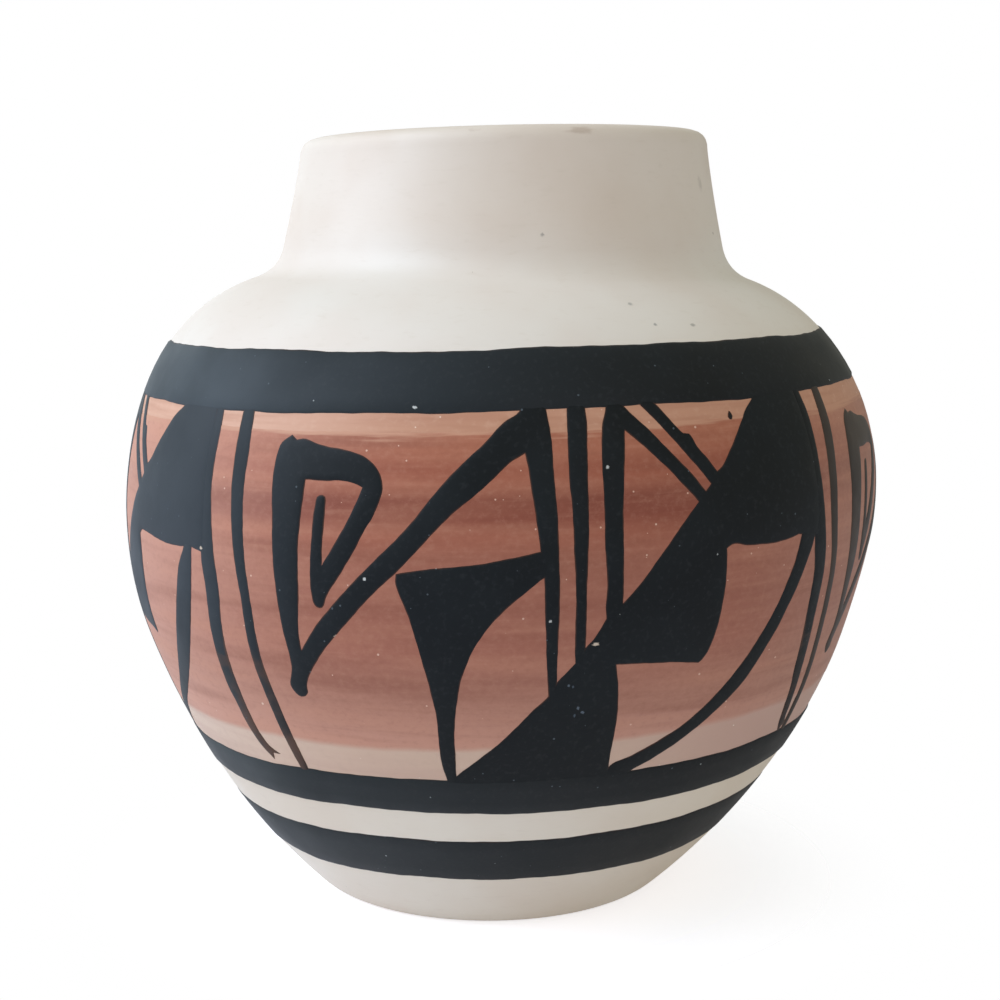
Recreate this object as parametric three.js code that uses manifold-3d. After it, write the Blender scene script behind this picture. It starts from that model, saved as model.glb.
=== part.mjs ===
// A small round pottery vase with a short neck: a pale clay body, a terracotta band round the
// belly, and bands and figures brushed over it in black slip. The inside is glazed.
// Millimetres, +Z up, origin at the centre of the foot, with -Y as the front.
import * as THREE from "three";
import { mergeVertices, toCreasedNormals } from "three/addons/utils/BufferGeometryUtils.js";
import Module from "manifold-3d";

const wasm = await Module();
wasm.setup();

// The clay body, from the foot up
const FOOT_RADIUS = 21.3;
const FOOT_ROUNDING = 1;
const RECESS_RADIUS = 17;
const RECESS_DEPTH = 1.2;
const BELLY_RADIUS = 45.3;
const BELLY_HEIGHT = 47.3;
const SHOULDER_RADIUS = 29.7;
const SHOULDER_RISE = 26;
const NECK_RADIUS = 26.45;
const NECK_JOIN_RISE = 3.6;
const MOUTH_RADIUS = 24.4;
const NECK_HEIGHT = 13.7;
const WALL = 3.8;
const FLOOR = 5;
const FLOOR_ROUNDING = 4;
const LIP_ROUNDING_OUTSIDE = 1.4;
const LIP_ROUNDING_INSIDE = 1.2;

// How far each stretch of the wall is pulled outwards and upwards into its curve, as shares of
// the stretch's own width and rise
const FOOT_FLARE = { out: 0.68, up: 0.31 };
const BELLY_PULL = { below: 0.27, above: 0.46 };
const SHOULDER_PULL = { out: 0.67, down: 0.14 };
const JOIN_PULL = { out: 0.2, up: 0.26 };
const NECK_PULL = { out: 0.3, up: 0.5 };

// The coats of slip and glaze
const SLIP = 0.2;
const GLAZE = 0.3;
const BARE_LIP_INSIDE = 2;

// The painted bands, each width measured upright: first those stacked from the foot up, then
// those stacked from the end of the shoulder down. Terracotta fills what is left between them.
const BARE_FOOT = 8;
const FOOT_BAND = 6;
const CLAY_STRIPE = 3.8;
const LOWER_BAND = 4.5;
const LOWER_WASH = 3.5;
const BARE_SHOULDER = 6.4;
const SHOULDER_BAND = 5.9;
const UPPER_WASH = 1.6;

// The frieze is one pattern repeated round the belly
const REPEATS = 4;

// How finely curves are divided and heights are found
const SEGMENTS_PER_REPEAT = 10;
const WALL_STEP = 6;
const HOLLOW_STEP = 12;
const JOIN_STEP = 1.6;
const ROUNDING_STEPS = 3;
const BRUSH_STEPS = 1;
const HALVINGS = 40;

const SHOULDER_HEIGHT = BELLY_HEIGHT + SHOULDER_RISE;
const NECK_JOIN_HEIGHT = SHOULDER_HEIGHT + NECK_JOIN_RISE;
const HEIGHT = NECK_JOIN_HEIGHT + NECK_HEIGHT;

const point = (x, y) => new THREE.Vector2(x, y);

// The outer wall's curve, from the foot's edge to the start of the lip's rounding.
function wallCurve() {
  const { lerp } = THREE.MathUtils;
  const curve = new THREE.Path();
  curve.moveTo(FOOT_RADIUS, 0);
  curve.bezierCurveTo(
    lerp(FOOT_RADIUS, BELLY_RADIUS, FOOT_FLARE.out), FOOT_FLARE.up * BELLY_HEIGHT,
    BELLY_RADIUS, (1 - BELLY_PULL.below) * BELLY_HEIGHT,
    BELLY_RADIUS, BELLY_HEIGHT,
  );
  curve.bezierCurveTo(
    BELLY_RADIUS, BELLY_HEIGHT + BELLY_PULL.above * SHOULDER_RISE,
    lerp(SHOULDER_RADIUS, BELLY_RADIUS, SHOULDER_PULL.out),
    SHOULDER_HEIGHT - SHOULDER_PULL.down * SHOULDER_RISE,
    SHOULDER_RADIUS, SHOULDER_HEIGHT,
  );
  curve.quadraticCurveTo(
    lerp(NECK_RADIUS, SHOULDER_RADIUS, JOIN_PULL.out), SHOULDER_HEIGHT + JOIN_PULL.up * NECK_JOIN_RISE,
    NECK_RADIUS, NECK_JOIN_HEIGHT,
  );
  curve.quadraticCurveTo(
    lerp(MOUTH_RADIUS, NECK_RADIUS, NECK_PULL.out), NECK_JOIN_HEIGHT + NECK_PULL.up * NECK_HEIGHT,
    MOUTH_RADIUS, HEIGHT - LIP_ROUNDING_OUTSIDE,
  );
  return curve;
}

const wall = wallCurve();
const wallLength = wall.getLength();

// A station is a distance along the outer wall. The lift stands off it, outwards where positive.
function onWall(station, lift) {
  const share = station / wallLength;
  const along = wall.getTangent(share);
  return wall.getPoint(share).add(point(along.y, -along.x).multiplyScalar(lift));
}

function stationAt(height, lift = 0) {
  let low = 0;
  let high = wallLength;
  for (let halving = 0; halving < HALVINGS; halving++) {
    const middle = (low + high) / 2;
    if (onWall(middle, lift).y < height) low = middle;
    else high = middle;
  }
  return low;
}

function stationsBetween(low, high, step) {
  const count = Math.max(1, Math.ceil((high - low) / step));
  return Array.from({ length: count + 1 }, (_, i) => THREE.MathUtils.lerp(low, high, i / count));
}

// Stations through a row of edges, with a finer step in the tight curve under the neck.
function stationsThrough(edges, step) {
  const ordered = [...new Set(edges)].sort((a, b) => a - b);
  return ordered.flatMap((low, i) => {
    if (i === ordered.length - 1) return [low];
    const inJoin = low >= shoulderEnd && low < neckStart;
    return stationsBetween(low, ordered[i + 1], inJoin ? JOIN_STEP : step).slice(0, -1);
  });
}

const shoulderEnd = stationAt(SHOULDER_HEIGHT);
const neckStart = stationAt(NECK_JOIN_HEIGHT);

// The bands' edges as stations, each band standing on the one below it.
const belowTerracotta = BARE_FOOT + FOOT_BAND + CLAY_STRIPE + LOWER_BAND + LOWER_WASH;
const aboveTerracotta = UPPER_WASH + SHOULDER_BAND + BARE_SHOULDER;
const bandWidths = {
  bareFoot: BARE_FOOT,
  footBand: FOOT_BAND,
  clayStripe: CLAY_STRIPE,
  lowerBand: LOWER_BAND,
  lowerWash: LOWER_WASH,
  terracotta: SHOULDER_HEIGHT - aboveTerracotta - belowTerracotta,
  upperWash: UPPER_WASH,
  shoulderBand: SHOULDER_BAND,
};
const bands = {};
let bandBottom = 0;
for (const [name, width] of Object.entries(bandWidths)) {
  const bandTop = bandBottom + width;
  bands[name] = {
    bottom: bandBottom,
    top: bandTop,
    low: stationAt(bandBottom),
    high: stationAt(bandTop),
  };
  bandBottom = bandTop;
}
const frieze = {
  bottom: bands.lowerWash.bottom,
  top: bands.upperWash.top,
  low: bands.lowerWash.low,
  high: bands.upperWash.high,
};

const wallStations = stationsThrough(
  [
    FOOT_ROUNDING,
    ...Object.values(bands).map((band) => band.high),
    shoulderEnd,
    neckStart,
    wallLength,
  ],
  WALL_STEP,
);

const glazeTop = stationAt(HEIGHT - BARE_LIP_INSIDE, -WALL);

// A round solid from a profile of radius and height, with its axis upright.
function turned(profile) {
  return new THREE.LatheGeometry(profile, REPEATS * SEGMENTS_PER_REPEAT).rotateX(Math.PI / 2);
}

function roundedCorner(from, corner, to) {
  return new THREE.QuadraticBezierCurve(from, corner, to).getPoints(ROUNDING_STEPS);
}

// The hollow's profile at a lift inside the outer wall, from a station at its top down to the
// middle of a floor at the given height.
function hollow(lift, floor, top) {
  const foot = stationAt(floor + FLOOR_ROUNDING, lift);
  const start = onWall(foot, lift);
  const along = wall.getTangent(foot / wallLength);
  const corner = start.clone().addScaledVector(along, (floor - start.y) / along.y);
  const end = point(corner.x - start.distanceTo(corner), floor);
  const stations = stationsThrough([foot, shoulderEnd, neckStart, glazeTop, top], HOLLOW_STEP);
  return [
    ...stations.reverse().map((station) => onWall(station, lift)),
    ...roundedCorner(start, corner, end).slice(1),
    point(0, floor),
  ];
}

function clayBody() {
  const wallTop = onWall(wallLength, 0);
  const insideTop = onWall(wallLength, -WALL);
  const wallFoot = onWall(FOOT_ROUNDING, 0);
  return turned([
    point(0, RECESS_DEPTH),
    point(RECESS_RADIUS, RECESS_DEPTH),
    point(RECESS_RADIUS + RECESS_DEPTH, 0),
    ...roundedCorner(point(FOOT_RADIUS - FOOT_ROUNDING, 0), point(FOOT_RADIUS, 0), wallFoot),
    ...wallStations.slice(1).map((station) => onWall(station, 0)),
    ...roundedCorner(
      wallTop,
      point(wallTop.x, HEIGHT),
      point(wallTop.x - LIP_ROUNDING_OUTSIDE, HEIGHT),
    ).slice(1),
    ...roundedCorner(
      point(insideTop.x + LIP_ROUNDING_INSIDE, HEIGHT),
      point(insideTop.x, HEIGHT),
      insideTop,
    ),
    ...hollow(-WALL, FLOOR, wallLength).slice(1),
  ]);
}

// The glaze lies on the clay all over the hollow, up to a little below the lip.
function glazeLining() {
  return turned([
    ...hollow(-WALL, FLOOR, glazeTop).reverse(),
    ...hollow(-WALL - GLAZE, FLOOR + GLAZE, glazeTop),
  ]);
}

// A ring of slip on the wall, from one lift above the clay to another.
function slipRing({ low, high }, under, over) {
  const stations = wallStations.filter((station) => station >= low && station <= high);
  const outside = stations.map((station) => onWall(station, over));
  const inside = stations.map((station) => onWall(station, under)).reverse();
  return turned([...outside, ...inside, outside[0]]);
}

// The frieze's figures. A point is an angle from the middle of the repeat, in degrees of a
// quarter turn, and a height in percent of the frieze. Figures that touch the black bands run
// past them, to be trimmed, and figures that touch each other part on an upright or level line.
const PAST_BOTTOM = -3;
const PAST_TOP = 103;

// An outline is a ring of brushed edges. Each edge is a smooth curve through its points, or one
// straight line where it has a single point, and it starts where the edge before it ends.
function brushed(start, ...edges) {
  const outline = new THREE.Shape().moveTo(...start);
  for (const edge of edges) {
    if (edge.length === 1) outline.lineTo(...edge[0]);
    else outline.splineThru(edge.map(([x, y]) => point(x, y)));
  }
  return outline;
}

// A hooked fret on the left, with a broad stroke that climbs from its foot to the shoulder band
// and an upright that hangs from there.
const HOOK_CORNER = [2.9, 89.7];
const UPRIGHT_FOOT = [[6.8, 29.5], [8.1, 29.5]];
const BLADE_JOINT = [[5.6, 65], [5.6, 57.8]];
const fretHook = brushed(
  [-29, 94.3],
  [[-30.7, 91], [-31.1, 83.6], [-30, 58], [-29.4, 35.3]],
  [[-30.2, 26], [-28.8, 23], [-27.4, 24.7], [-26.7, 29.5]],
  [[-20.7, 43.6], [-14, 57.6], [-3.8, 79.1], HOOK_CORNER],
  [[4, 79], BLADE_JOINT[0]],
  [BLADE_JOINT[1]],
  [[6.5, 42], UPRIGHT_FOOT[0]],
  [UPRIGHT_FOOT[1]],
  [[7.9, 56.7], [6.7, 82.9], [5.6, PAST_TOP]],
  [[2.9, PAST_TOP]],
  [[-1.3, 94.7], [-7.2, 82.9], [-15.2, 64], [-21.9, 49.8], [-27, 37.1]],
  [[-26.5, 52], [-26.2, 74], [-25.9, 83]],
  [[-21.5, 83.1], [-17.8, 81.5]],
  [[-19.1, 74.7], [-22.8, 61]],
  [[-22.7, 70], [-22.9, 78]],
  [[-23.4, 79.4], [-24.1, 77]],
  [[-24.5, 63.6], [-24.3, 51]],
  [[-23.5, 49.3], [-22.4, 52.2]],
  [[-20.3, 58.8], [-16.9, 71.2], [-15.1, 81.2]],
  [[-18.4, 89.7], [-24.5, 92.2], [-29, 94.3]],
);

// A feather blade that hangs from the fret's upright and tapers down to the lower band.
const BLADE_FOOT = [-6, 1.8];
const featherBlade = brushed(
  BLADE_JOINT[0],
  [[-2.6, 62.1], [-10.6, 59.8]],
  [[-12.4, 57.8], [-12.3, 53.5]],
  [[-10.6, 43.6], [-9, 27], [-8.3, 13], [-7.3, PAST_BOTTOM]],
  [[BLADE_FOOT[0], PAST_BOTTOM]],
  [BLADE_FOOT],
  [[-5.9, 16], [-4.7, 30.5], [-1.7, 43.3], BLADE_JOINT[1]],
  [BLADE_JOINT[0]],
);

const BAR_FOOT = [[10.4, 38.8], [11.7, 38.8]];
const uprightBar = brushed(
  [8.9, PAST_TOP],
  [[8.5, 86], [9.3, 68], [10.1, 50], BAR_FOOT[0]],
  [BAR_FOOT[1]],
  [[11.4, 58], [11, 80], [10.9, PAST_TOP]],
  [[8.9, PAST_TOP]],
);

// A stepped lightning figure: it falls from the shoulder band to the lower band, with a thin
// upright and two slanting lines brushed on to its upper edge.
const LINES_TOP = 60;
const LINES_FORK = [46.9, 58.6];
const ARC_TOP_LEFT = [44.5, LINES_TOP];
const SIDE_TOP_RIGHT = [49.2, LINES_TOP];
const ARC_FOOT = [17.8, 2.9];
const lightningFigure = brushed(
  [47.1, PAST_TOP],
  [[39.2, PAST_TOP]],
  [[34.6, 95], [29.2, 82.6]],
  [[24.6, 92.9], [19.9, PAST_TOP]],
  [[17.7, PAST_TOP]],
  [[23.3, 90.6], [28.1, 79.5]],
  [[27.3, 77.8]],
  [[22.5, 88.1], [15.2, PAST_TOP]],
  [[14.2, PAST_TOP]],
  [[12.9, 90], [13.4, 68], [14.1, 47.1]],
  [BAR_FOOT[1]],
  [BAR_FOOT[0]],
  [[10.5, 34.8]],
  [UPRIGHT_FOOT[1]],
  [UPRIGHT_FOOT[0]],
  [[6.9, 25.3]],
  [[0.8, 12.6], [-3.8, 4.7], BLADE_FOOT],
  [[BLADE_FOOT[0], PAST_BOTTOM]],
  [[ARC_FOOT[0], PAST_BOTTOM]],
  [ARC_FOOT],
  [[17.3, 16.7], [16.2, 33.4]],
  [[22.5, 32.8], [28.7, 31.2]],
  [[30.6, 38.1], [31.2, 50], [30.9, 62.6]],
  [[38, 61.6], [44.9, 63.3]],
  [ARC_TOP_LEFT],
  [SIDE_TOP_RIGHT],
  [[48, 80], [47.1, PAST_TOP]],
);
lightningFigure.holes.push(
  brushed(
    [16.2, 94.3],
    [[15.7, 78], [16.3, 50.4]],
    [[20.4, 60.5], [26.2, 75.2]],
    [[21.6, 84.8], [16.2, 94.3]],
  ),
);

const arcLine = brushed(
  ARC_TOP_LEFT,
  [[40.9, 41.6], [34.4, 23.3], [26.2, 10.2], ARC_FOOT],
  [[ARC_FOOT[0], PAST_BOTTOM]],
  [[20, PAST_BOTTOM]],
  [[27.8, 6.4], [37.8, 22.2], [44.1, 42.9], LINES_FORK],
  [[LINES_FORK[0], LINES_TOP]],
  [ARC_TOP_LEFT],
);

const sideLine = brushed(
  [LINES_FORK[0], LINES_TOP],
  [LINES_FORK],
  [[46.9, 36], [48, 17], [51.5, 0.6]],
  [[53.3, 2.4]],
  [[50.4, 15], [49.5, 38], SIDE_TOP_RIGHT],
  [[LINES_FORK[0], LINES_TOP]],
);

const uprightLine = brushed(
  [-38.9, PAST_TOP],
  [[-38, 80], [-36.2, 50], [-35, 20], [-32, PAST_BOTTOM]],
  [[-30.4, PAST_BOTTOM]],
  [[-33.2, 20], [-34.4, 50], [-35.8, 80], [-36.9, PAST_TOP]],
  [[-38.9, PAST_TOP]],
);

const SAME_POINT = 1e-3;

// A closed geometry as a solid that can be cut. Its own normals and uv are left behind.
function solidOf(geometry) {
  geometry.deleteAttribute("normal");
  geometry.deleteAttribute("uv");
  const merged = mergeVertices(geometry, SAME_POINT);
  return new wasm.Manifold(
    new wasm.Mesh({
      numProp: 3,
      vertProperties: merged.attributes.position.array,
      triVerts: new Uint32Array(merged.index.array),
    }),
  );
}

function geometryOf(solid) {
  const { vertProperties, triVerts } = solid.getMesh();
  const geometry = new THREE.BufferGeometry();
  geometry.setAttribute("position", new THREE.BufferAttribute(vertProperties, 3));
  return geometry.setIndex(new THREE.BufferAttribute(triVerts, 1));
}

// A repeat is drawn flat in front of its own stretch of wall and cut straight back through the
// coat, so that figures that touch share one flat cut.
const CUT_NEAR = 0.3 * BELLY_RADIUS;
const CUT_FAR = 1.2 * BELLY_RADIUS;

function cutter(outline) {
  const geometry = new THREE.ExtrudeGeometry(outline, {
    depth: CUT_FAR - CUT_NEAR,
    bevelEnabled: false,
    curveSegments: BRUSH_STEPS,
  });
  const place = geometry.getAttribute("position");
  for (let i = 0; i < place.count; i++) {
    const angle = ((place.getX(i) / 90) * 2 * Math.PI) / REPEATS;
    const height = THREE.MathUtils.lerp(frieze.bottom, frieze.top, place.getY(i) / 100);
    const radius = onWall(stationAt(height), 2 * SLIP).x;
    place.setXYZ(i, radius * Math.sin(angle), -CUT_NEAR - place.getZ(i), height);
  }
  return geometry;
}

const figureCoat = solidOf(slipRing(frieze, SLIP, 2 * SLIP));

function figure(outline) {
  return geometryOf(figureCoat.intersect(solidOf(cutter(outline))));
}

const clay = { color: "#dcd5c8", roughness: 0.8 };
const glaze = { color: "#e9e4d8", roughness: 0.15 };
const terracotta = { color: "#b0705c", roughness: 0.85 };
const paleTerracotta = { color: "#c89680", roughness: 0.85 };
const wash = { color: "#c3b0a4", roughness: 0.85 };
const blackSlip = { color: "#202529", roughness: 0.7 };

const vase = new THREE.Group();

// Faces that meet at less than this angle, in radians, are shaded as one smooth surface.
const CREASE = 0.5;

function add(name, geometry, finish, turn = 0) {
  const creased = toCreasedNormals(geometry, CREASE);
  const mesh = new THREE.Mesh(creased, new THREE.MeshStandardMaterial({ ...finish, metalness: 0 }));
  mesh.name = name;
  mesh.rotation.z = turn;
  vase.add(mesh);
}

add("clay_body", clayBody(), clay);
add("glaze_lining", glazeLining(), glaze);
add("foot_black_band", slipRing(bands.footBand, 0, 2 * SLIP), blackSlip);
add("lower_black_band", slipRing(bands.lowerBand, 0, 2 * SLIP), blackSlip);
add("lower_wash_strip", slipRing(bands.lowerWash, 0, SLIP), wash);
add("terracotta_band", slipRing(bands.terracotta, 0, SLIP), terracotta);
add("upper_wash_strip", slipRing(bands.upperWash, 0, SLIP), paleTerracotta);
add("shoulder_black_band", slipRing(bands.shoulderBand, 0, 2 * SLIP), blackSlip);

const figures = {
  fret_hook: fretHook,
  feather_blade: featherBlade,
  upright_bar: uprightBar,
  lightning_figure: lightningFigure,
  arc_line: arcLine,
  side_line: sideLine,
  upright_line: uprightLine,
};
for (const [name, outline] of Object.entries(figures)) {
  const geometry = figure(outline);
  for (let repeat = 0; repeat < REPEATS; repeat++) {
    add(`${name}_${repeat + 1}`, geometry, blackSlip, (repeat * 2 * Math.PI) / REPEATS);
  }
}

export default vase;
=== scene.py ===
"""A small pottery vase of cream clay, thrown and painted by hand: a brushed terracotta frieze, and
bands and figures in black slip. Sizes are in millimetres until by_hand() turns them to metres."""

import math
from functools import cached_property

import bpy
import numpy as np
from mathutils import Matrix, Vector
from mathutils.geometry import delaunay_2d_cdt


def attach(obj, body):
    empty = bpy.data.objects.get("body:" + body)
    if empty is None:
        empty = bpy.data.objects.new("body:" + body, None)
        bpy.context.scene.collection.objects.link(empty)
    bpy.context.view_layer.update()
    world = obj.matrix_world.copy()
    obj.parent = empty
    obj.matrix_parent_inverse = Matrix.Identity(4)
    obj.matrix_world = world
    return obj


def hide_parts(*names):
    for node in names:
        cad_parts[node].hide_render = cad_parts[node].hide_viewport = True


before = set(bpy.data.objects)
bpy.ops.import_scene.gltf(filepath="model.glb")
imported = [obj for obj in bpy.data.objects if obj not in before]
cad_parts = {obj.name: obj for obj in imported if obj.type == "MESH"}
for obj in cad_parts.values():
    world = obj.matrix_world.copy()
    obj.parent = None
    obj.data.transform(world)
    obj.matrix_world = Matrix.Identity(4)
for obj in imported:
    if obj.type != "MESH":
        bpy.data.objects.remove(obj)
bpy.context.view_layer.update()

MM = 0.001

# The clay body, from the foot up
FOOT_RADIUS = 21.1
FOOT_ROUNDING = 1
RECESS_RADIUS = 17
RECESS_DEPTH = 1.2
RECESS_ROUNDING = 0.4
BELLY_RADIUS = 45
BELLY_HEIGHT = 47.3
SHOULDER_RADIUS = 29.5
SHOULDER_RISE = 26
NECK_RADIUS = 26.3
NECK_JOIN_RISE = 3.6
MOUTH_RADIUS = 24.25
NECK_HEIGHT = 13.1
WALL = 3.8
FLOOR = 5
FLOOR_ROUNDING = 4
LIP_ROUNDING_OUTSIDE = 2.2
LIP_ROUNDING_INSIDE = 1.2

# How far each stretch of the wall is pulled outwards and upwards into its curve
FOOT_FLARE = {"out": 0.68, "up": 0.31}
BELLY_PULL = {"below": 0.27, "above": 0.46}
SHOULDER_PULL = {"out": 0.67, "down": 0.14}
JOIN_PULL = {"out": 0.2, "up": 0.26}
NECK_PULL = {"out": 0.3, "up": 0.5}

# The painted bands, each width measured upright
BARE_FOOT = 7.92
FOOT_BAND = 6
CLAY_STRIPE = 3.8
LOWER_BAND = 4.5
LOWER_WASH = 3.5
BARE_SHOULDER = 6.4
SHOULDER_BAND = 5.9
UPPER_WASH = 1.6
REPEATS = 4

# The coats, as thick as a brush leaves them, and how far a coat reaches under the next one
WASH_COAT = 0.03
TERRACOTTA_COAT = 0.06
BLACK_COAT = 0.11
NEXT_STROKE = 0.004
BAND_COAT = 0.16
FOOT_BAND_COAT = 0.08
GLAZE_COAT = 0.15
SUNK = 0.03
FEATHER = 0.3
OVERLAP = 1.2
BARE_LIP_INSIDE = 2

# The potter's hand, as points of height and amount: how far the axis wanders to the right, how far
# the figures do so on it, and by how many degrees the right side of the clay, and of the paint on
# it, stands higher
AXIS_WANDER = [(0, -1.35), (20, -0.36), (28, -0.25), (36, -0.37), (46, 0.05), (58, 0.38), (75, 0.35),
               (90, 0.45)]
PAINT_WANDER = [(22, -0.42), (33, 0), (43, -0.26), (47, -0.34), (53, -0.22), (61, -0.12)]
CLAY_TILT = [(0, 0), (25, 0.4), (47, 0.2), (66, -0.65), (77, 0), (90, 1.3)]
PAINT_TILT = [(0, 0.78), (20, 0.78), (61, 1.34), (90, 1.34)]

# How far the figures are spread to the sides, in millimetres, and how soon that dies out there
PAINT_SPREAD = 0.3
SIDE_SLACK = 0.06

SHOULDER_HEIGHT = BELLY_HEIGHT + SHOULDER_RISE
NECK_JOIN_HEIGHT = SHOULDER_HEIGHT + NECK_JOIN_RISE
HEIGHT = NECK_JOIN_HEIGHT + NECK_HEIGHT

FOOT_BAND_TOP = BARE_FOOT + FOOT_BAND
LOWER_BAND_BOTTOM = FOOT_BAND_TOP + CLAY_STRIPE
FRIEZE_BOTTOM = LOWER_BAND_BOTTOM + LOWER_BAND
WASH_TOP = FRIEZE_BOTTOM + LOWER_WASH
SHOULDER_BAND_TOP = SHOULDER_HEIGHT - BARE_SHOULDER
FRIEZE_TOP = SHOULDER_BAND_TOP - SHOULDER_BAND
TERRACOTTA_TOP = FRIEZE_TOP - UPPER_WASH

# How finely the meshes are divided, in millimetres where it isn't a count
CURVE_STEPS = 60
BODY_COLUMNS = 288
RING_COLUMNS = 720
RING_STEP = 1.5
STROKE_STEP = 0.35
STROKE_GRID = 1.3
SHARP_DEGREES = 50

# How near to a stroke's edge the points that follow it, and those of the grid, may lie, in feathers
ROW_CLEARANCE = 0.45
GRID_CLEARANCE = 2

# The camera as it was fitted to the photograph: its place in metres, and how far down it looks
CAMERA_PLACE = (0, -0.2157, 0.0776)
CAMERA_DOWN_DEGREES = 8.31
LENS = 63.72
SENSOR_WIDTH = 36

# The floor: how strongly it glows as a light and as the camera sees it, and how far from the axis,
# in metres, the glow and the floor itself fade out
FLOOR_COLOUR = (0.77, 0.76, 0.83, 1)
FLOOR_GLOW = (0.175, 0.6)
FLOOR_GLOW_FADE = (0.1, 0.04)
FLOOR_FADE = (0.022, 0.052)

# The background as a light, and as the camera sees it
WORLD_LIGHT = (0.52, 0.53, 0.46, 1)
WORLD_SEEN = (1, 1, 1, 1)


def bezier(*corners, steps=CURVE_STEPS):
    """Points along a Bezier curve of any degree."""
    degree = len(corners) - 1
    t = np.linspace(0, 1, steps + 1)[:, None]
    return sum(
        math.comb(degree, i) * t**i * (1 - t) ** (degree - i) * np.array(corner, float)
        for i, corner in enumerate(corners)
    )


def blend(low, high, share):
    return low + (high - low) * share


def outer_wall():
    """The outer wall as points of radius and height, from the foot to the start of the lip."""
    belly = (BELLY_RADIUS, BELLY_HEIGHT)
    shoulder = (SHOULDER_RADIUS, SHOULDER_HEIGHT)
    neck = (NECK_RADIUS, NECK_JOIN_HEIGHT)
    to_belly = bezier(
        (FOOT_RADIUS, 0),
        (blend(FOOT_RADIUS, BELLY_RADIUS, FOOT_FLARE["out"]), FOOT_FLARE["up"] * BELLY_HEIGHT),
        (BELLY_RADIUS, (1 - BELLY_PULL["below"]) * BELLY_HEIGHT),
        belly,
    )
    shoulder_in = blend(SHOULDER_RADIUS, BELLY_RADIUS, SHOULDER_PULL["out"])
    to_shoulder = bezier(
        belly,
        (BELLY_RADIUS, BELLY_HEIGHT + BELLY_PULL["above"] * SHOULDER_RISE),
        (shoulder_in, SHOULDER_HEIGHT - SHOULDER_PULL["down"] * SHOULDER_RISE),
        shoulder,
    )
    join_in = blend(NECK_RADIUS, SHOULDER_RADIUS, JOIN_PULL["out"])
    to_neck = bezier(shoulder, (join_in, SHOULDER_HEIGHT + JOIN_PULL["up"] * NECK_JOIN_RISE), neck)
    neck_in = blend(MOUTH_RADIUS, NECK_RADIUS, NECK_PULL["out"])
    to_lip = bezier(
        neck,
        (neck_in, NECK_JOIN_HEIGHT + NECK_PULL["up"] * NECK_HEIGHT),
        (MOUTH_RADIUS, HEIGHT - LIP_ROUNDING_OUTSIDE),
    )
    return np.vstack([to_belly, to_shoulder[1:], to_neck[1:], to_lip[1:]])


def outwards(profile):
    """The unit normal at each point of a profile that climbs with its outside on the right."""
    along = np.gradient(profile, axis=0)
    along /= np.linalg.norm(along, axis=1)[:, None]
    return np.stack([along[:, 1], -along[:, 0]], 1)


OUTER_WALL = outer_wall()
OUTER_NORMALS = outwards(OUTER_WALL)


def on_wall(height, lift):
    """Radius and height of points that stand off the outer wall by a lift."""
    radius, across, up = (
        np.interp(height, OUTER_WALL[:, 1], column)
        for column in (OUTER_WALL[:, 0], OUTER_NORMALS[:, 0], OUTER_NORMALS[:, 1])
    )
    return radius + lift * across, height + lift * up


def thrown(angle, radius, height):
    """Points of a true round pot, in millimetres. Angle 0 is the front, and it grows to the right."""
    angle, radius, height = np.broadcast_arrays(angle, radius, height)
    return np.stack([radius * np.sin(angle), -radius * np.cos(angle), height], -1)


def through(points, steps=12):
    """A smooth curve through points, evenly paced whatever their gaps, as more points."""
    points = np.array(points, float)
    gaps = np.linalg.norm(np.diff(points, axis=0), axis=1)
    knots = np.r_[0, np.cumsum(np.sqrt(gaps))]
    slopes = np.gradient(points, knots, axis=0)
    t = np.linspace(0, 1, steps, endpoint=False)[:, None]
    spans = [
        (2 * t**3 - 3 * t**2 + 1) * points[i]
        + (t**3 - 2 * t**2 + t) * (knots[i + 1] - knots[i]) * slopes[i]
        + (3 * t**2 - 2 * t**3) * points[i + 1]
        + (t**3 - t**2) * (knots[i + 1] - knots[i]) * slopes[i + 1]
        for i in range(len(points) - 1)
    ]
    return np.vstack([*spans, points[-1:]])


def by_height(points):
    """A smooth function of height through points of height and value."""
    curve = through(points)
    return lambda height: np.interp(height, curve[:, 0], curve[:, 1])


axis_wander = by_height(AXIS_WANDER)
clay_tilt = by_height(CLAY_TILT)
paint_tilt = by_height(PAINT_TILT)
paint_wander = by_height(PAINT_WANDER)


def by_hand(points):
    """Points of a true round pot as the real, hand-made one has them, in metres."""
    x, y, z = np.moveaxis(points, -1, 0)
    raised = x * np.tan(np.radians(clay_tilt(z)))
    return np.stack([x + axis_wander(z), y, z + raised], -1) * MM


def painted(angle, height, lift):
    """Points of the paint as on a true round pot, in millimetres: the painter's levels climb to
    the right more than the clay's do."""
    x = on_wall(height, 0)[0] * np.sin(angle)
    climb = np.tan(np.radians(paint_tilt(height))) - np.tan(np.radians(clay_tilt(height)))
    return thrown(angle, *on_wall(height + x * climb, lift))


def paint_place(angle, height):
    """Where the painter meant the paint to be, on the true round pot."""
    return thrown(angle, on_wall(height, 0)[0], height)


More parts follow.
